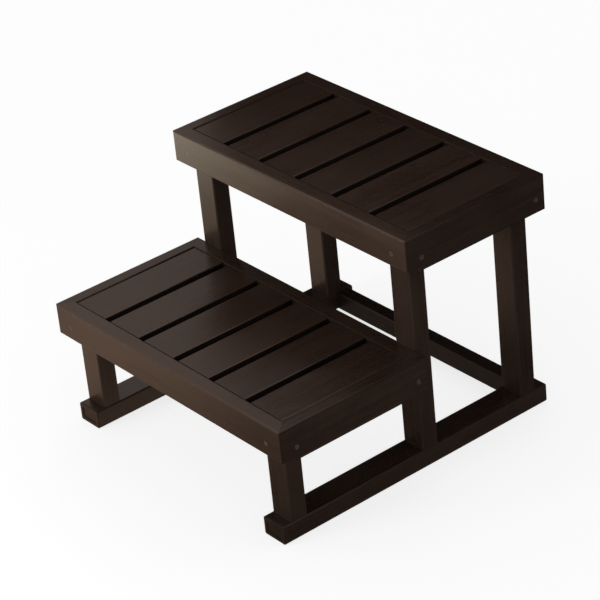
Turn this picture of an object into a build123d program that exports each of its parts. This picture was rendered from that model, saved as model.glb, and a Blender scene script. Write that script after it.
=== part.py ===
"""Two-tread spa steps in dark lumber: sled runners, notched legs, mitred tread frames and drained slats.

Frame: origin on the ground at the centre of the footprint, +Z up, +X to the right of a person
facing the steps, -Y towards that person. The back of the steps (+Y) stands against the tub.
"""

from build123d import *
import os

# Overall size
step_width = 610.0
overall_depth = 594.0
lower_tread_height = 228.0
upper_tread_height = 451.0
lower_tread_depth = 314.0
upper_tread_depth = 307.0

# Tread frames: four mitred rails each, with side rails that hang lower than the others
side_rail_thickness = 24.0
cross_rail_thickness = 28.0
cross_rail_height = 58.0
side_rail_height = 66.0
rail_edge_radius = 2.5
frame_corner_radius = 4.0

# Slats
slats_per_tread = 6
slat_thickness = 20.0
slat_gap = 13.5
slat_side_clearance = 1.0
slat_end_clearance = 1.0
slat_set_down = 1.0
slat_edge_radius = 2.5

# Cleats that carry the slats
cleat_depth = 22.0
cleat_height = 24.0

# Legs
post_width = 48.0
post_depth = 34.0
post_edge_radius = 3.0
leg_notch = 4.0

# Runners: hollow section closed by end caps
runner_width = 52.0
runner_height = 34.0
runner_edge_radius = 3.0
runner_wall = 4.0
runner_front_setback = 5.0
cap_plate = 3.0
cap_plug_length = 8.0
cap_plug_clearance = 0.2
cap_panel_margin = 7.0
cap_panel_depth = 1.4
cap_edge_radius = 1.2

# Stretcher between the runners, with a tongue at each end
stretcher_depth = 28.0
stretcher_back_setback = 9.0
tongue_length = 28.0
tongue_depth = 20.0
tongue_headroom = 0.5
tongue_clearance = 0.2

# Countersunk screws
head_radius = 4.4
head_recess = 0.3
shank_radius = 2.2
point_length = 4.0
bore_clearance = 0.1
countersink_angle = 90.0
drive_length = 5.0
drive_width = 1.1
drive_depth = 1.6
side_screw_length = 60.0
leg_screw_length = 45.0
runner_screw_length = 45.0
cleat_screw_length = 38.0
stretcher_screw_length = 24.0

# Screw places, measured from the end of the rail and down from the tread
side_screw_front_inset = 33.0
side_screw_back_inset = 21.0
side_screw_drop = 41.0
leg_screw_inset = 37.0
leg_screw_drop = 35.0
inner_leg_screw_drops = (29.0, 50.0)
leg_foot_screw_spacing = 24.0
rear_foot_screw_shift = 1.0
stretcher_screw_inset = 12.0

# Places worked out from the sizes above
half_width = step_width / 2
front = -overall_depth / 2
back = overall_depth / 2
lower_back = front + lower_tread_depth
upper_front = back - upper_tread_depth
leg_inner_x = half_width - side_rail_thickness - post_width
leg_center_x = half_width - side_rail_thickness - post_width / 2
runner_inner_x = leg_center_x - runner_width / 2
slat_drop = slat_set_down + slat_thickness
slats_span = step_width - 2 * (side_rail_thickness + slat_side_clearance)
slat_width = (slats_span - (slats_per_tread - 1) * slat_gap) / slats_per_tread
slat_pitch = slat_width + slat_gap
slat_centers = [(n - (slats_per_tread - 1) / 2) * slat_pitch for n in range(slats_per_tread)]
gap_centers = [x + slat_pitch / 2 for x in slat_centers[:-1]]

treads = {
    "lower": (front, lower_back, lower_tread_height),
    "upper": (upper_front, back, upper_tread_height),
}
sides = {"left": -1, "right": 1}

os.makedirs("parts", exist_ok=True)


def save(builder, label):
    """Label a finished piece and write it as its own STEP file."""
    builder.part.label = label
    export_step(builder.part, f"parts/{label}.step")


def drill(seats, length):
    """Cut a countersunk bore at each seat; a seat's +Z points out of the screw head."""
    with Locations(*seats):
        CounterSinkHole(
            radius=shank_radius + bore_clearance,
            counter_sink_radius=head_radius + head_recess + bore_clearance,
            depth=length + bore_clearance,
            counter_sink_angle=countersink_angle,
        )


def make_screw(length):
    """One countersunk cross-recess wood screw, head up at the origin, pointing down."""
    head_bottom = -head_recess - (head_radius - shank_radius)
    with BuildPart() as screw:
        with BuildSketch(Plane.XZ):
            with BuildLine():
                Polyline(
                    (0, -head_recess),
                    (head_radius, -head_recess),
                    (shank_radius, head_bottom),
                    (shank_radius, point_length - length),
                    (0, -length),
                    close=True,
                )
            make_face()
        revolve(axis=Axis.Z)
        with BuildSketch(Plane.XY.offset(-head_recess)):
            Rectangle(drive_length, drive_width)
            Rectangle(drive_width, drive_length)
        extrude(amount=-drive_depth, mode=Mode.SUBTRACT)
    return screw.part


def save_screws(label, seats, length):
    """Write a set of identical screws, one separate solid at each seat."""
    screw = make_screw(length)
    with BuildPart() as screws:
        with Locations(*seats):
            add(screw)
    save(screws, label)


def seat(x, y, z, out):
    """A screw seat at a point, with the direction in which its head faces."""
    return Plane(origin=(x, y, z), z_dir=out)


# Screw seats of one tread frame
def side_seats(front_y, back_y, top_z):
    """Side rails to the legs in front and to the back rail, seen on the side faces."""
    z = top_z - side_screw_drop
    ends = (front_y + side_screw_front_inset, back_y - side_screw_back_inset)
    return [seat(side * half_width, y, z, (side, 0, 0)) for side in sides.values() for y in ends]


def front_leg_seats(front_y, top_z):
    """Front rail to the legs behind it, seen on the front face."""
    x = half_width - leg_screw_inset
    return [seat(side * x, front_y, top_z - leg_screw_drop, (0, -1, 0)) for side in sides.values()]


def cleat_seats(front_y, back_y, top_z):
    """Cleats to the front and back rails, driven from inside the frame."""
    z = top_z - slat_drop - cleat_height / 2
    front_face = front_y + cross_rail_thickness + cleat_depth
    back_face = back_y - cross_rail_thickness - cleat_depth
    front_seats = [seat(x, front_face, z, (0, 1, 0)) for x in gap_centers]
    back_seats = [seat(x, back_face, z, (0, -1, 0)) for x in gap_centers]
    return front_seats + back_seats


def slat_seats(front_y, back_y, top_z):
    """Slats from below through the cleats, one screw at each end of each slat."""
    z = top_z - slat_drop - cleat_height
    outer_x = (slat_centers[-1] - slat_width / 2 + leg_inner_x) / 2
    screw_xs = [-outer_x] + slat_centers[1:-1] + [outer_x]
    cleat_line = cross_rail_thickness + cleat_depth / 2
    screw_ys = (front_y + cleat_line, back_y - cleat_line)
    return [seat(x, y, z, (0, 0, -1)) for x in screw_xs for y in screw_ys]


lower_front_seats = front_leg_seats(front, lower_tread_height)
upper_front_seats = front_leg_seats(upper_front, upper_tread_height)
upper_back_seats = [
    seat(side * (half_width - leg_screw_inset), back, upper_tread_height - leg_screw_drop, (0, 1, 0))
    for side in sides.values()
]
lower_back_seats = [
    seat(side * leg_center_x, lower_back - cross_rail_thickness, lower_tread_height - drop, (0, -1, 0))
    for side in sides.values()
    for drop in inner_leg_screw_drops
]
leg_screw_seats = {
    "lower": lower_front_seats + lower_back_seats,
    "upper": upper_front_seats + upper_back_seats,
}

# Legs: front faces, tops, and the Y span of each notch with the top of the rail that fills it
front_leg_y = front + cross_rail_thickness - leg_notch
middle_leg_y = lower_back - leg_notch
rear_leg_y = back - cross_rail_thickness + leg_notch - post_depth
leg_starts = {"front": front_leg_y, "middle": middle_leg_y, "rear": rear_leg_y}
leg_tops = {
    "front": lower_tread_height - slat_drop,
    "middle": upper_tread_height - slat_drop,
    "rear": upper_tread_height - slat_drop,
}
leg_notches = {
    "front": [(front_leg_y, front + cross_rail_thickness, lower_tread_height)],
    "middle": [
        (middle_leg_y, lower_back, lower_tread_height),
        (middle_leg_y, upper_front + cross_rail_thickness, upper_tread_height),
    ],
    "rear": [(back - cross_rail_thickness, rear_leg_y + post_depth, upper_tread_height)],
}


def foot_seats(side, leg):
    """Two screws up through the runner into the foot of a leg, reached through the runner's floor."""
    y = leg_starts[leg] + post_depth / 2
    if leg == "rear":
        y -= rear_foot_screw_shift
    offsets = (-leg_foot_screw_spacing / 2, leg_foot_screw_spacing / 2)
    z = runner_height - runner_wall
    return [seat(side * leg_center_x + dx, y, z, (0, 0, -1)) for dx in offsets]


# Stretcher place, and its screws up through the runners' floors
stretcher_y = back - stretcher_back_setback - stretcher_depth / 2
stretcher_seats = [
    seat(side * (runner_inner_x + runner_wall + stretcher_screw_inset), stretcher_y, 0, (0, 0, -1))
    for side in sides.values()
]

# Tread frames: front, back, left and right rails with mitred ends
for tread, (front_y, back_y, top_z) in treads.items():
    mid_y = (front_y + back_y) / 2
    depth = back_y - front_y
    rail_z = top_z - cross_rail_height / 2
    side_rail_z = top_z - side_rail_height / 2
    rebate_y = front_y + cross_rail_thickness
    side_screws = side_seats(front_y, back_y, top_z)
    cleat_screws = cleat_seats(front_y, back_y, top_z)

    cross_rails = {"front": (front_y, 1), "back": (back_y, -1)}
    for name, (outer_y, inward) in cross_rails.items():
        center_y = outer_y + inward * cross_rail_thickness / 2
        with BuildPart() as cross_rail:
            with BuildSketch(Plane.YZ):
                with Locations((center_y, rail_z)):
                    RectangleRounded(cross_rail_thickness, cross_rail_height, rail_edge_radius)
            extrude(amount=half_width, both=True)
            for side in sides.values():
                slope = (-side * cross_rail_thickness, -inward * side_rail_thickness, 0)
                mitre = Plane(origin=(side * half_width, outer_y, top_z), z_dir=slope)
                split(bisect_by=mitre, keep=Keep.TOP)
            with BuildSketch(Plane.XY.offset(top_z)):
                with Locations((0, mid_y)):
                    RectangleRounded(step_width, depth, frame_corner_radius)
            extrude(amount=-cross_rail_height, mode=Mode.INTERSECT)
            drill(side_screws, side_screw_length)
            drill(leg_screw_seats[tread], leg_screw_length)
            drill(cleat_screws, cleat_screw_length)
        save(cross_rail, f"{tread}_{name}_rail")

    for name, side in sides.items():
        center_x = side * (half_width - side_rail_thickness / 2)
        inner_x = side * (half_width - side_rail_thickness)
        with BuildPart() as side_rail:
            with BuildSketch(Plane.XZ):
                with Locations((center_x, side_rail_z)):
                    RectangleRounded(side_rail_thickness, side_rail_height, rail_edge_radius)
            extrude(amount=overall_depth, both=True)
            with BuildSketch(Plane.XY.offset(top_z)):
                with Locations((0, mid_y)):
                    RectangleRounded(step_width, depth, frame_corner_radius)
            extrude(amount=-side_rail_height, mode=Mode.INTERSECT)
            with BuildSketch(Plane.XY.offset(top_z)):
                for outer_y, inward in cross_rails.values():
                    with BuildLine():
                        Polyline(
                            (side * half_width, outer_y),
                            (inner_x, outer_y),
                            (inner_x, outer_y + inward * cross_rail_thickness),
                            close=True,
                        )
                    make_face()
            extrude(amount=-cross_rail_height, mode=Mode.SUBTRACT)
            with BuildSketch(Plane.XY.offset(top_z - cross_rail_height)):
                with Locations((center_x, (front_y + rebate_y) / 2)):
                    Rectangle(side_rail_thickness, cross_rail_thickness)
            extrude(amount=cross_rail_height - side_rail_height, mode=Mode.SUBTRACT)
            drill(side_screws, side_screw_length)
        save(side_rail, f"{tread}_{name}_rail")

    # Cleats between the legs, under the ends of the slats
    slat_screws = slat_seats(front_y, back_y, top_z)
    cleat_z = top_z - slat_drop - cleat_height / 2
    for name, (outer_y, inward) in cross_rails.items():
        cleat_y = outer_y + inward * (cross_rail_thickness + cleat_depth / 2)
        with BuildPart() as cleat:
            with BuildSketch(Plane.YZ):
                with Locations((cleat_y, cleat_z)):
                    Rectangle(cleat_depth, cleat_height)
            extrude(amount=leg_inner_x, both=True)
            drill(cleat_screws, cleat_screw_length)
            drill(slat_screws, cleat_screw_length)
        save(cleat, f"{tread}_{name}_cleat")

    # Slats run front to back, with drainage gaps between them
    slat_length = depth - 2 * (cross_rail_thickness + slat_end_clearance)
    slat_z = top_z - slat_set_down - slat_thickness / 2
    for number, slat_x in enumerate(slat_centers, start=1):
        with BuildPart() as slat:
            with BuildSketch(Plane.XZ.offset(-mid_y)):
                with Locations((slat_x, slat_z)):
                    RectangleRounded(slat_width, slat_thickness, slat_edge_radius)
            extrude(amount=slat_length / 2, both=True)
            drill(slat_screws, cleat_screw_length)
        save(slat, f"{tread}_slat_{number}")

    save_screws(f"{tread}_side_screws", side_screws, side_screw_length)
    save_screws(f"{tread}_leg_screws", leg_screw_seats[tread], leg_screw_length)
    save_screws(f"{tread}_cleat_screws", cleat_screws, cleat_screw_length)
    save_screws(f"{tread}_slat_screws", slat_screws, cleat_screw_length)

# Legs: posts notched where the rails sit on them
for side_name, side in sides.items():
    for leg_name, leg_y in leg_starts.items():
        with BuildPart() as leg:
            with BuildSketch(Plane.XY.offset(runner_height)):
                with Locations((side * leg_center_x, leg_y + post_depth / 2)):
                    RectangleRounded(post_width, post_depth, post_edge_radius)
            extrude(amount=leg_tops[leg_name] - runner_height)
            for notch_front, notch_back, rail_top in leg_notches[leg_name]:
                with BuildSketch(Plane.XY.offset(rail_top - cross_rail_height)):
                    with Locations((side * leg_center_x, (notch_front + notch_back) / 2)):
                        Rectangle(post_width, notch_back - notch_front)
                extrude(amount=cross_rail_height, mode=Mode.SUBTRACT)
            for tread, tread_span in treads.items():
                drill(side_seats(*tread_span), side_screw_length)
                drill(leg_screw_seats[tread], leg_screw_length)
            drill(foot_seats(side, leg_name), runner_screw_length)
        save(leg, f"{side_name}_{leg_name}_leg")

# Runners: hollow sections on the ground, with a window for the stretcher's tongue
runner_start = front + runner_front_setback + cap_plate
runner_end = back - cap_plate
all_foot_seats = [s for side in sides.values() for leg in leg_starts for s in foot_seats(side, leg)]
for side_name, side in sides.items():
    with BuildPart() as runner:
        with BuildSketch(Plane.XZ.offset(-runner_start)):
            with Locations((side * leg_center_x, runner_height / 2)):
                RectangleRounded(runner_width, runner_height, runner_edge_radius)
                Rectangle(runner_width - 2 * runner_wall, runner_height - 2 * runner_wall, mode=Mode.SUBTRACT)
        extrude(amount=runner_start - runner_end)
        with BuildSketch(Plane.XY.offset(runner_wall)):
            with Locations((side * (runner_inner_x + runner_wall / 2), stretcher_y)):
                Rectangle(runner_wall, tongue_depth + 2 * tongue_clearance)
        extrude(amount=runner_height - 2 * runner_wall, mode=Mode.SUBTRACT)
        drill(foot_seats(side, "front"), runner_screw_length)
        drill(foot_seats(side, "middle"), runner_screw_length)
        drill(foot_seats(side, "rear"), runner_screw_length)
        drill(stretcher_seats, stretcher_screw_length)
    save(runner, f"{side_name}_runner")

    # End caps: a rounded plate with a shallow panel, and a plug that fills the section
    cap_ends = {"front": (runner_start, -1), "rear": (runner_end, 1)}
    for end_name, (end_y, out) in cap_ends.items():
        plug_width = runner_width - 2 * (runner_wall + cap_plug_clearance)
        plug_height = runner_height - 2 * (runner_wall + cap_plug_clearance)
        with BuildPart() as cap:
            with BuildSketch(Plane.XZ.offset(-end_y)):
                with Locations((side * leg_center_x, runner_height / 2)):
                    RectangleRounded(runner_width, runner_height, runner_edge_radius)
            extrude(amount=-out * cap_plate)
            outer_face = cap.faces().filter_by(Axis.Y).sort_by(Axis.Y)[0 if out < 0 else -1]
            fillet(outer_face.edges(), radius=cap_edge_radius)
            with BuildSketch(Plane.XZ.offset(-end_y - out * cap_plate)):
                with Locations((side * leg_center_x, runner_height / 2)):
                    RectangleRounded(
                        runner_width - 2 * cap_panel_margin,
                        runner_height - 2 * cap_panel_margin,
                        runner_edge_radius,
                    )
            extrude(amount=out * cap_panel_depth, mode=Mode.SUBTRACT)
            with BuildSketch(Plane.XZ.offset(-end_y)):
                with Locations((side * leg_center_x, runner_height / 2)):
                    Rectangle(plug_width, plug_height)
            extrude(amount=out * cap_plug_length)
        save(cap, f"{side_name}_runner_{end_name}_cap")

save_screws("runner_leg_screws", all_foot_seats, runner_screw_length)

# Stretcher on the ground between the runners
tongue_height = runner_height - 2 * runner_wall - tongue_headroom
with BuildPart() as stretcher:
    with BuildSketch(Plane.YZ):
        with Locations((stretcher_y, runner_height / 2)):
            RectangleRounded(stretcher_depth, runner_height, rail_edge_radius)
    extrude(amount=runner_inner_x, both=True)
    with BuildSketch(Plane.YZ):
        with Locations((stretcher_y, runner_wall + tongue_height / 2)):
            Rectangle(tongue_depth, tongue_height)
    extrude(amount=runner_inner_x + tongue_length, both=True)
    drill(stretcher_seats, stretcher_screw_length)
save(stretcher, "rear_stretcher")
save_screws("stretcher_screws", stretcher_seats, stretcher_screw_length)
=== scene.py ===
"""Looks for the spa steps: dark lumber with a fine grain, moulded end caps and dark coated screws."""

import math

import bpy
from mathutils import Matrix, Vector


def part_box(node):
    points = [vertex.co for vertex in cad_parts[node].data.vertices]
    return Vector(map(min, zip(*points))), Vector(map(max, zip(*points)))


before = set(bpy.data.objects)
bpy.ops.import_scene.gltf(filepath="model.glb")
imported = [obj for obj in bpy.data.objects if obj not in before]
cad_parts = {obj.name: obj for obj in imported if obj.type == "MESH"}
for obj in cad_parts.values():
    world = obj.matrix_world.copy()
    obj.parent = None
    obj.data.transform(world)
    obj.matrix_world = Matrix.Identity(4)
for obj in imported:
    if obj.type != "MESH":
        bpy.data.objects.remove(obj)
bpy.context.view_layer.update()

X, Y, Z = 0, 1, 2

# Lumber colours, linear; the pale one serves wear, scuffs and cloudy patches, and also painted sheen and
# highlights
LUMBER_DARK = (0.0245, 0.0132, 0.0086)
LUMBER_LIGHT = (0.0465, 0.0252, 0.0165)
LUMBER_PALE = (0.0900, 0.0590, 0.0430)
TONE_SPREAD = 0.10

# Lumber texture scales per metre, across and along the grain
FIBRES = (620.0, 6.5)
BANDS = (95.0, 1.5)
PORES = (1250.0, 48.0)
BLOTCHES = (9.0, 5.0)
SCUFFS = (38.0, 16.0)
SHIFT_STEP = 3.7
TONE_STEP = 2.4

# Lumber surface
LUMBER_ROUGHNESS = 0.28
FIBRE_ROUGHNESS = 0.08
BLOTCH_ROUGHNESS = 0.10
LUMBER_SPECULAR = 0.50
GRAIN_HEIGHT = 0.00011
FIBRE_SHARE = 0.55
BAND_SHARE = 0.45
FIBRE_RELIEF = 0.5
BAND_RELIEF = 0.5
PORE_RELIEF = 0.15
PORE_DARKNESS = 0.30
CLOUDINESS = 0.16
WEAR_AND_SHEEN_ROUGHNESS = 0.35
SCUFFED_ROUGHNESS = 0.5
EDGE_BAND_NEAR = 0.0006
EDGE_BAND_FAR = 0.0042
# Painted shade: rails darker near their edges
EDGE_SHADE_DARKNESS = 0.4
# Painted shade on the slats' sides, in the gaps between them
GAP_SHADE_TONE = 0.30
GAP_SHADE_ROUGHNESS = 0.40
GAP_SHADE_SPECULAR = 0.08
# Painted shade: lumber and end caps darken unevenly towards the ground
GROUND_SHADE_START = 0.03
GROUND_SHADE_HEIGHT = 0.26
GROUND_SHADE_UNEVENNESS = 0.06
GROUND_SHADE_TONE = 0.62

# End caps and screws
CAP_DARK = (0.034, 0.0185, 0.0118)
CAP_LIGHT = (0.052, 0.0290, 0.0185)
CAP_TEXTURE_HEIGHT = 0.00008
CAP_SPECULAR = 0.30
SCREW_COATING = (0.200, 0.180, 0.160)
SCREW_STAIN = (0.095, 0.070, 0.055)
SCREW_RUB_HEIGHT = 0.00004
SCREW_METALLIC = 0.55

# Floor and surround
FLOOR_SIZE = 40.0
FLOOR_COLOUR = (0.50, 0.50, 0.503, 1.0)
FLOOR_ROUGHNESS = 0.9
FLOOR_GLOW = 0.76
SURROUND = (0.97, 0.97, 0.975, 1.0)
WHITE = (1.0, 1.0, 1.0, 1.0)

# Light on matt surfaces and light seen in gloss, from -X, +X, -Y, +Y, -Z and +Z
MATT_LIGHT = (0.85, 0.56, 0.65, 0.85, 0.25, 0.10)
GLOSS_LIGHT = (0.17, 0.04, 0.05, 0.06, 0.05, 1.68)
SKY_GLOSS = (1.0, 0.84, 0.75, 1.0)

# Soft light from the front left
KEY_PLACE = (-0.5, -2.2, 0.6)
KEY_TARGET = (0.0, 0.0, 0.2)
KEY_SIZE = 0.9
KEY_POWER = 12.5

# Bright ground seen in gloss: its edges, and strengths that run from one X to another
GROUND_NEAR = -2.4
GROUND_FAR = 0.2
GROUND_HEIGHT = 0.003
LEFT_GLOSS = (1.0, 0.89, 0.69, 1.0)
LEFT_EDGES = (-2.4, -0.6)
LEFT_RAMP = (-1.3, -0.62, 3.0, 0.0)
FRONT_GLOSS = (1.0, 0.68, 0.48, 1.0)
FRONT_EDGES = (-0.8, 0.6)
FRONT_RAMP = (-0.40, 0.10, 0.60, 0.06)

# Dark side of the tub seen in gloss
WALL_LEFT = -0.68
WALL_RIGHT = 2.2
WALL_PLACE = 0.335
WALL_TOP = 0.95

# Camera
PHOTO_AZIMUTH = 40.3
PHOTO_ELEVATION = 24.4
PHOTO_ROLL = -0.05
CAMERA_PLACE = Vector((3.238, -2.419, 2.542))
CAMERA_AIM = Vector((0.0012, -0.0005, 0.2233))
CAMERA_LENS = 164.0
CAMERA_SENSOR = 36.0
CAMERA_REACH = 100.0


# Node helpers
def wire(tree, socket, value):
    """Connect a node's output to an input, or set the input to a constant."""
    if isinstance(value, bpy.types.NodeSocket):
        tree.links.new(value, socket)
    else:
        socket.default_value = value


def calc(tree, operation, *values, clamp=False):
    """One Math node."""
    node = tree.nodes.new("ShaderNodeMath")
    node.operation = operation
    node.use_clamp = clamp
    for socket, value in zip(node.inputs, values):
        wire(tree, socket, value)
    return node.outputs[0]


def remap(tree, value, low, high, to_low=0.0, to_high=1.0, smooth=True):
    """Map a range of a value to another range, with soft ends."""
    node = tree.nodes.new("ShaderNodeMapRange")
    node.interpolation_type = "SMOOTHSTEP" if smooth else "LINEAR"
    node.clamp = True
    for name, given in (
        ("Value", value),
        ("From Min", low),
        ("From Max", high),
        ("To Min", to_low),
        ("To Max", to_high),
    ):
        wire(tree, node.inputs[name], given)
    return node.outputs["Result"]


def blend_colour(tree, factor, first, second):
    """Mix two colours by a factor."""
    node = tree.nodes.new("ShaderNodeMix")
    node.data_type = "RGBA"
    colours = [c if isinstance(c, bpy.types.NodeSocket) else (*c, 1.0) for c in (first, second)]
    wire(tree, node.inputs["Factor"], factor)
    wire(tree, node.inputs[6], colours[0])
    wire(tree, node.inputs[7], colours[1])
    return node.outputs[2]


def darken(tree, colour, tone):
    """Scale a colour by a value."""
    node = tree.nodes.new("ShaderNodeVectorMath")
    node.operation = "SCALE"
    wire(tree, node.inputs[0], colour)
    wire(tree, node.inputs["Scale"], tone)
    return node.outputs[0]


def noise(tree, vector, scale=1.0, detail=2.0, roughness=0.5):
    """A noise value around 0.5."""
    node = tree.nodes.new("ShaderNodeTexNoise")
    node.noise_dimensions = "3D"
    wire(tree, node.inputs["Vector"], vector)
    node.inputs["Scale"].default_value = scale
    node.inputs["Detail"].default_value = detail
    node.inputs["Roughness"].default_value = roughness
    return node.outputs["Fac"]


def stretched(tree, position, along, scales, shift):
    """Position scaled so that a texture runs along one axis, moved to its own part of the texture."""
    across_scale, along_scale = scales
    node = tree.nodes.new("ShaderNodeMapping")
    scale = [across_scale] * 3
    scale[along] = along_scale
    node.inputs["Scale"].default_value = scale
    node.inputs["Location"].default_value = (shift, shift * 0.37, -shift * 0.61)
    wire(tree, node.inputs["Vector"], position)
    return node.outputs["Vector"]


def new_material(name):
    """An empty node material with its shader wired to the output."""
    material = bpy.data.materials.new(name)
    material.use_nodes = True
    tree = material.node_tree
    tree.nodes.clear()
    output = tree.nodes.new("ShaderNodeOutputMaterial")
    shader = tree.nodes.new("ShaderNodeBsdfPrincipled")
    tree.links.new(shader.outputs[0], output.inputs["Surface"])
    return material, tree, shader


def object_position(tree):
    """The point on the surface in the row frame, in metres."""
    return tree.nodes.new("ShaderNodeTexCoord").outputs["Object"]


def split_xyz(tree, vector):
    """The three parts of a vector."""
    node = tree.nodes.new("ShaderNodeSeparateXYZ")
    wire(tree, node.inputs[0], vector)
    return [node.outputs[n] for n in range(3)]


def facing_up(tree):
    """1 on faces that look up, 0 on the others."""
    normal = tree.nodes.new("ShaderNodeTexCoord").outputs["Normal"]
    return remap(tree, split_xyz(tree, normal)[Z], 0.80, 0.99)


def facing_sideways(tree):
    """1 on faces that look left or right, 0 on the others."""
    normal = tree.nodes.new("ShaderNodeTexCoord").outputs["Normal"]
    return remap(tree, calc(tree, "ABSOLUTE", split_xyz(tree, normal)[X]), 0.55, 0.95)


def bump(tree, height, distance):
    """A bump normal from a height value."""
    node = tree.nodes.new("ShaderNodeBump")
    node.inputs["Distance"].default_value = distance
    wire(tree, node.inputs["Height"], height)
    return node.outputs["Normal"]


def edge_distance(tree, position, low, high):
    """Distance from the nearest edge of a box-shaped piece: the middle one of three face distances."""
    parts = split_xyz(tree, position)
    gaps = [
        calc(tree, "MINIMUM", calc(tree, "SUBTRACT", p, low[n]), calc(tree, "SUBTRACT", high[n], p))
        for n, p in enumerate(parts)
    ]
    smaller = calc(tree, "MINIMUM", gaps[X], gaps[Y])
    larger = calc(tree, "MAXIMUM", gaps[X], gaps[Y])
    return calc(tree, "MAXIMUM", smaller, calc(tree, "MINIMUM", larger, gaps[Z]))


def painted_ground_shade(tree, position, unevenness):
    """1 high up, falling unevenly towards the ground, where painted shade darkens the surface."""
    height = calc(tree, "MULTIPLY_ADD", unevenness, GROUND_SHADE_UNEVENNESS, split_xyz(tree, position)[Z])
    return remap(tree, height, GROUND_SHADE_START, GROUND_SHADE_START + GROUND_SHADE_HEIGHT, GROUND_SHADE_TONE, 1.0)


# Materials
def lumber(
    node_name,
    along,
    seed,
    tone=1.0,
    edge_wear_and_highlight=0.30,
    top_sheen=0.0,
    scuff_wear=0.0,
    edge_shade=0.0,
    gap_shade=False,
):
    """Dark lumber for one piece: grain along it, its own tone, soft wear with painted highlights and
    sheen, painted shade at the edges and in the gaps, and painted shade towards the ground.
    """
    material, tree, shader = new_material(f"lumber_{node_name}")
    low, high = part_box(node_name)
    position = object_position(tree)
    shift = SHIFT_STEP * seed
    tone *= 1.0 + TONE_SPREAD * math.sin(TONE_STEP * seed)

    def texture(scales, **settings):
        return noise(tree, stretched(tree, position, along, scales, shift), **settings)

    fibres = texture(FIBRES, detail=4.0, roughness=0.62)
    bands = texture(BANDS, detail=3.0, roughness=0.55)
    pores = remap(tree, texture(PORES, detail=1.0), 0.60, 0.70)
    blotches = texture(BLOTCHES, detail=3.0, roughness=0.6)

    # Grain, pores and cloudy patches
    grain = calc(tree, "MULTIPLY_ADD", fibres, FIBRE_SHARE, calc(tree, "MULTIPLY", bands, BAND_SHARE))
    grain = remap(tree, grain, 0.24, 0.76)
    colour = blend_colour(tree, grain, [c * tone for c in LUMBER_DARK], [c * tone for c in LUMBER_LIGHT])
    colour = blend_colour(tree, calc(tree, "MULTIPLY", pores, PORE_DARKNESS), colour, LUMBER_DARK)
    cloudy = remap(tree, blotches, 0.30, 0.70, 0.0, CLOUDINESS)
    colour = blend_colour(tree, cloudy, colour, LUMBER_PALE)

    # Wear along the edges, strong enough on the front rails to paint a highlight there, and a painted
    # sheen on the top faces
    edge = edge_distance(tree, position, low, high)
    ragged = remap(tree, fibres, 0.35, 0.75, 0.35, 1.0)
    rubbed = remap(tree, edge, EDGE_BAND_NEAR, EDGE_BAND_FAR, edge_wear_and_highlight, 0.0)
    wear_and_sheen = calc(tree, "MULTIPLY", rubbed, ragged)
    # Painted sheen: top faces made lighter in patches, as if light gleamed on them
    if top_sheen:
        patchy = remap(tree, blotches, 0.30, 0.70, 0.6, 1.0)
        painted_top_sheen = calc(tree, "MULTIPLY", facing_up(tree), patchy)
        wear_and_sheen = calc(tree, "MULTIPLY_ADD", painted_top_sheen, top_sheen, wear_and_sheen, clamp=True)
    colour = blend_colour(tree, wear_and_sheen, colour, LUMBER_PALE)

    # Roughness varies around its middle value with the fibres and the patches
    roughness = calc(tree, "MULTIPLY_ADD", fibres, FIBRE_ROUGHNESS, LUMBER_ROUGHNESS - FIBRE_ROUGHNESS / 2)
    roughness = calc(tree, "SUBTRACT", roughness, BLOTCH_ROUGHNESS / 2)
    roughness = calc(tree, "MULTIPLY_ADD", blotches, BLOTCH_ROUGHNESS, roughness)
    roughness = calc(tree, "MULTIPLY_ADD", wear_and_sheen, WEAR_AND_SHEEN_ROUGHNESS, roughness)
    if scuff_wear:
        scuffs = remap(tree, texture(SCUFFS, detail=3.0, roughness=0.55), 0.48, 0.78, 0.0, scuff_wear)
        colour = blend_colour(tree, scuffs, colour, LUMBER_PALE)
        roughness = calc(tree, "MULTIPLY_ADD", scuffs, SCUFFED_ROUGHNESS, roughness)

    # Painted shade at the edges and in the gaps, which darkens and dulls
    specular = LUMBER_SPECULAR
    # Painted shade: back and side rails darker and less glossy near their edges
    if edge_shade:
        painted_shade = remap(tree, edge, EDGE_BAND_NEAR, EDGE_BAND_FAR, edge_shade, 0.0)
        darkness = calc(tree, "MULTIPLY", painted_shade, EDGE_SHADE_DARKNESS)
        colour = darken(tree, colour, calc(tree, "SUBTRACT", 1.0, darkness))
        specular = remap(tree, painted_shade, 0.0, 1.0, LUMBER_SPECULAR, 0.0, smooth=False)
    # Painted shade: the slats' sides, facing the gaps, are darker and duller
    if gap_shade:
        painted_shade = facing_sideways(tree)
        colour = darken(tree, colour, remap(tree, painted_shade, 0.0, 1.0, 1.0, GAP_SHADE_TONE, smooth=False))
        roughness = calc(tree, "MULTIPLY_ADD", painted_shade, GAP_SHADE_ROUGHNESS, roughness, clamp=True)
        specular = remap(tree, painted_shade, 0.0, 1.0, LUMBER_SPECULAR, GAP_SHADE_SPECULAR, smooth=False)

    relief = calc(tree, "MULTIPLY_ADD", fibres, FIBRE_RELIEF, calc(tree, "MULTIPLY", bands, BAND_RELIEF))
    relief = calc(tree, "SUBTRACT", relief, calc(tree, "MULTIPLY", pores, PORE_RELIEF))

    # Base colour, with painted shade darkening it towards the ground
    wire(tree, shader.inputs["Base Color"], darken(tree, colour, painted_ground_shade(tree, position, blotches)))
    wire(tree, shader.inputs["Roughness"], roughness)
    wire(tree, shader.inputs["Specular IOR Level"], specular)
    wire(tree, shader.inputs["Normal"], bump(tree, relief, GRAIN_HEIGHT))
    return material


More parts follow.
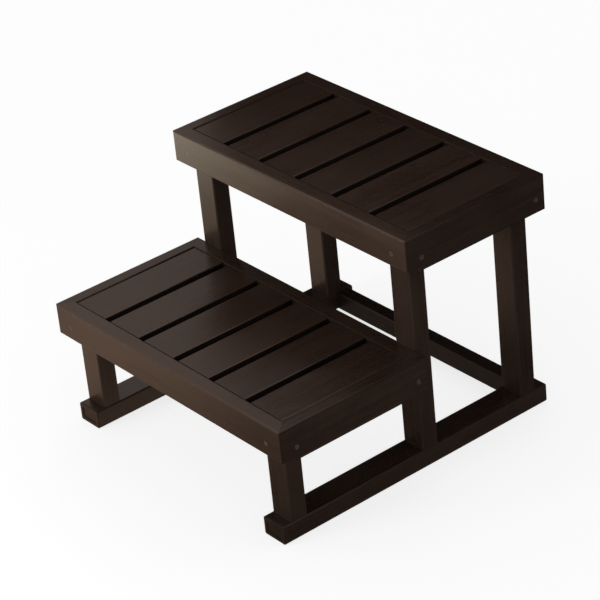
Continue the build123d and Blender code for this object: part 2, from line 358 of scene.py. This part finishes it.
def moulded_plastic():
    """Dark brown plastic of the runners' end caps, with a fine moulded texture."""
    material, tree, shader = new_material("cap_plastic")
    position = object_position(tree)
    speckle = noise(tree, position, scale=2600.0, detail=2.0)
    clouds = noise(tree, position, scale=40.0, detail=3.0)
    tone = calc(tree, "MULTIPLY_ADD", clouds, 0.5, calc(tree, "MULTIPLY", speckle, 0.5))
    colour = blend_colour(tree, remap(tree, tone, 0.35, 0.65), CAP_DARK, CAP_LIGHT)
    # The caps' colour gets painted shade towards the ground
    wire(tree, shader.inputs["Base Color"], darken(tree, colour, painted_ground_shade(tree, position, clouds)))
    wire(tree, shader.inputs["Roughness"], remap(tree, tone, 0.3, 0.7, 0.42, 0.56))
    wire(tree, shader.inputs["Normal"], bump(tree, speckle, CAP_TEXTURE_HEIGHT))
    shader.inputs["Specular IOR Level"].default_value = CAP_SPECULAR
    return material


def coated_steel():
    """Dark coated deck screws, rubbed by the driver and dulled by weather."""
    material, tree, shader = new_material("screw_steel")
    position = object_position(tree)
    rubbed = noise(tree, position, scale=1900.0, detail=3.0, roughness=0.7)
    stains = noise(tree, position, scale=260.0, detail=4.0, roughness=0.65)
    colour = blend_colour(tree, remap(tree, stains, 0.42, 0.66), SCREW_COATING, SCREW_STAIN)
    wire(tree, shader.inputs["Base Color"], colour)
    wire(tree, shader.inputs["Roughness"], remap(tree, rubbed, 0.3, 0.7, 0.34, 0.54))
    wire(tree, shader.inputs["Normal"], bump(tree, rubbed, SCREW_RUB_HEIGHT))
    shader.inputs["Metallic"].default_value = SCREW_METALLIC
    return material


def grain_axis(node_name):
    """The axis along which a lumber piece was cut."""
    if node_name.endswith("_leg"):
        return Z
    if "_slat_" in node_name or node_name.endswith(("_runner", "_left_rail", "_right_rail")):
        return Y
    return X


def lumber_finish(node_name):
    """How one lumber piece differs from plain lumber in tone, wear, painted light and painted shade."""
    if "_slat_" in node_name:
        tone = 1.10 if node_name.startswith("upper") else 0.97
        return {"tone": tone, "edge_wear_and_highlight": 0.15, "scuff_wear": 0.06, "gap_shade": True}
    # Front rails: their strong edge wear paints a highlight along the edges, and the lower rail's top
    # faces get a painted sheen
    if node_name == "lower_front_rail":
        return {"edge_wear_and_highlight": 0.60, "top_sheen": 0.52}
    # The upper front rail is painted lighter, standing in for the sheen on its front
    if node_name == "upper_front_rail":
        return {"tone": 1.50, "edge_wear_and_highlight": 0.40}
    # Back rails, and side rails below, get painted shade along their edges
    if node_name.endswith("_back_rail"):
        return {"edge_wear_and_highlight": 0.08, "edge_shade": 0.80}
    if node_name.endswith(("_left_rail", "_right_rail")):
        return {"tone": 0.80, "edge_wear_and_highlight": 0.10, "edge_shade": 0.45}
    # Rear pieces are painted darker, standing in for the shade of the steps above them
    if node_name.startswith("rear_") or node_name.endswith("_rear_leg"):
        return {"tone": 0.86}
    return {}


def dress_nodes():
    """Give every CAD node its material."""
    plastic = moulded_plastic()
    steel = coated_steel()
    for seed, (name, piece) in enumerate(sorted(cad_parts.items()), start=1):
        if name.endswith("_screws"):
            material = steel
        elif name.endswith("_cap"):
            material = plastic
        else:
            material = lumber(name, grain_axis(name), seed, **lumber_finish(name))
        piece.data.materials.clear()
        piece.data.materials.append(material)


# Studio
def add_floor():
    """A wide pale floor under the steps, which only the camera sees."""
    bpy.ops.mesh.primitive_plane_add(size=FLOOR_SIZE, location=(0.0, 0.0, 0.0))
    floor = bpy.context.active_object
    floor.name = "studio_floor"
    material, tree, shader = new_material("floor_paint")
    shader.inputs["Base Color"].default_value = FLOOR_COLOUR
    shader.inputs["Roughness"].default_value = FLOOR_ROUGHNESS
    shader.inputs["Specular IOR Level"].default_value = 0.0
    shader.inputs["Emission Color"].default_value = WHITE
    shader.inputs["Emission Strength"].default_value = FLOOR_GLOW
    floor.data.materials.append(material)
    floor.visible_diffuse = False
    floor.visible_glossy = False
    floor.visible_shadow = False


def add_key_light():
    """A square soft light from the front left, which only matt surfaces show."""
    light = bpy.data.lights.new("key_light", "AREA")
    light.shape = "SQUARE"
    light.size = KEY_SIZE
    light.energy = KEY_POWER
    lamp = bpy.data.objects.new("key_light", light)
    bpy.context.scene.collection.objects.link(lamp)
    lamp.location = KEY_PLACE
    lamp.rotation_mode = "QUATERNION"
    lamp.rotation_quaternion = (Vector(KEY_TARGET) - Vector(KEY_PLACE)).to_track_quat("-Z", "Y")
    lamp.visible_glossy = False


def gloss_card(name, corners, tint, ramp):
    """A card that only the gloss of the steps sees: its strength runs from one X to another."""
    mesh = bpy.data.meshes.new(name)
    mesh.from_pydata(corners, [], [(0, 1, 2, 3)])
    card = bpy.data.objects.new(name, mesh)
    bpy.context.scene.collection.objects.link(card)
    material = bpy.data.materials.new(name)
    material.use_nodes = True
    tree = material.node_tree
    tree.nodes.clear()
    output = tree.nodes.new("ShaderNodeOutputMaterial")
    glow = tree.nodes.new("ShaderNodeEmission")
    across = split_xyz(tree, object_position(tree))[X]
    from_x, to_x, from_strength, to_strength = ramp
    strength = remap(tree, across, from_x, to_x, from_strength, to_strength, smooth=False)
    wire(tree, glow.inputs["Strength"], strength)
    glow.inputs["Color"].default_value = tint
    tree.links.new(glow.outputs[0], output.inputs["Surface"])
    mesh.materials.append(material)
    card.visible_camera = False
    card.visible_diffuse = False
    card.visible_shadow = False
    card.visible_transmission = False


def add_gloss_cards():
    """The bright ground to the front left, and the dark wall of the tub behind the steps."""
    for name, (left, right), tint, ramp in (
        ("glow_left", LEFT_EDGES, LEFT_GLOSS, LEFT_RAMP),
        ("glow_front", FRONT_EDGES, FRONT_GLOSS, FRONT_RAMP),
    ):
        corners = [
            (left, GROUND_NEAR, GROUND_HEIGHT),
            (right, GROUND_NEAR, GROUND_HEIGHT),
            (right, GROUND_FAR, GROUND_HEIGHT),
            (left, GROUND_FAR, GROUND_HEIGHT),
        ]
        gloss_card(name, corners, tint, ramp)
    wall = [
        (WALL_LEFT, WALL_PLACE, 0.0),
        (WALL_RIGHT, WALL_PLACE, 0.0),
        (WALL_RIGHT, WALL_PLACE, WALL_TOP),
        (WALL_LEFT, WALL_PLACE, WALL_TOP),
    ]
    gloss_card("dark_wall", wall, WHITE, (WALL_LEFT, WALL_RIGHT, 0.0, 0.0))


def light_by_direction(tree, strengths):
    """A strength that changes smoothly with direction, from its values along the six half axes."""
    direction = tree.nodes.new("ShaderNodeTexCoord").outputs["Generated"]
    total = 0.0
    for axis, part in enumerate(split_xyz(tree, direction)):
        minus, plus = strengths[2 * axis : 2 * axis + 2]
        is_plus = calc(tree, "GREATER_THAN", part, 0.0)
        strength = calc(tree, "MULTIPLY_ADD", is_plus, plus - minus, minus)
        total = calc(tree, "MULTIPLY_ADD", calc(tree, "MULTIPLY", part, part), strength, total)
    return total


def set_world():
    """A pale surround for the camera, soft light for matt surfaces, and a dimmer one for gloss."""
    world = bpy.data.worlds.new("studio_world")
    bpy.context.scene.world = world
    world.use_nodes = True
    world.cycles.sampling_method = "NONE"
    tree = world.node_tree
    tree.nodes.clear()
    output = tree.nodes.new("ShaderNodeOutputWorld")
    rays = tree.nodes.new("ShaderNodeLightPath")

    def background(strength, colour):
        node = tree.nodes.new("ShaderNodeBackground")
        node.inputs["Color"].default_value = colour
        wire(tree, node.inputs["Strength"], strength)
        return node.outputs[0]

    def choose(ray, otherwise, chosen):
        node = tree.nodes.new("ShaderNodeMixShader")
        tree.links.new(rays.outputs[ray], node.inputs["Fac"])
        tree.links.new(otherwise, node.inputs[1])
        tree.links.new(chosen, node.inputs[2])
        return node.outputs[0]

    matt = background(light_by_direction(tree, MATT_LIGHT), WHITE)
    gloss = background(light_by_direction(tree, GLOSS_LIGHT), SKY_GLOSS)
    light = choose("Is Glossy Ray", matt, gloss)
    seen = choose("Is Camera Ray", light, background(1.0, SURROUND))
    tree.links.new(seen, output.inputs["Surface"])


def add_camera():
    """The photograph's viewpoint and tilt, turned to the steps and closed in on them."""
    azimuth, elevation, roll = (math.radians(a) for a in (PHOTO_AZIMUTH, PHOTO_ELEVATION, PHOTO_ROLL))
    level_reach = math.cos(elevation)
    back = Vector((math.sin(azimuth) * level_reach, -math.cos(azimuth) * level_reach, math.sin(elevation)))
    right = Vector((math.cos(azimuth), math.sin(azimuth), 0.0))
    up = back.cross(right)
    level = Matrix((right, up, back)).transposed().to_quaternion()
    tilt = Matrix.Rotation(roll, 3, back).to_quaternion()
    turn = (-back).rotation_difference(CAMERA_AIM - CAMERA_PLACE)
    data = bpy.data.cameras.new("camera")
    data.lens = CAMERA_LENS
    data.sensor_width = CAMERA_SENSOR
    data.clip_end = CAMERA_REACH
    camera = bpy.data.objects.new("camera", data)
    bpy.context.scene.collection.objects.link(camera)
    camera.location = CAMERA_PLACE
    camera.rotation_mode = "QUATERNION"
    camera.rotation_quaternion = turn @ tilt @ level
    bpy.context.scene.camera = camera


dress_nodes()
add_floor()
add_gloss_cards()
add_key_light()
set_world()
add_camera()
bpy.context.scene.view_settings.view_transform = "Standard"
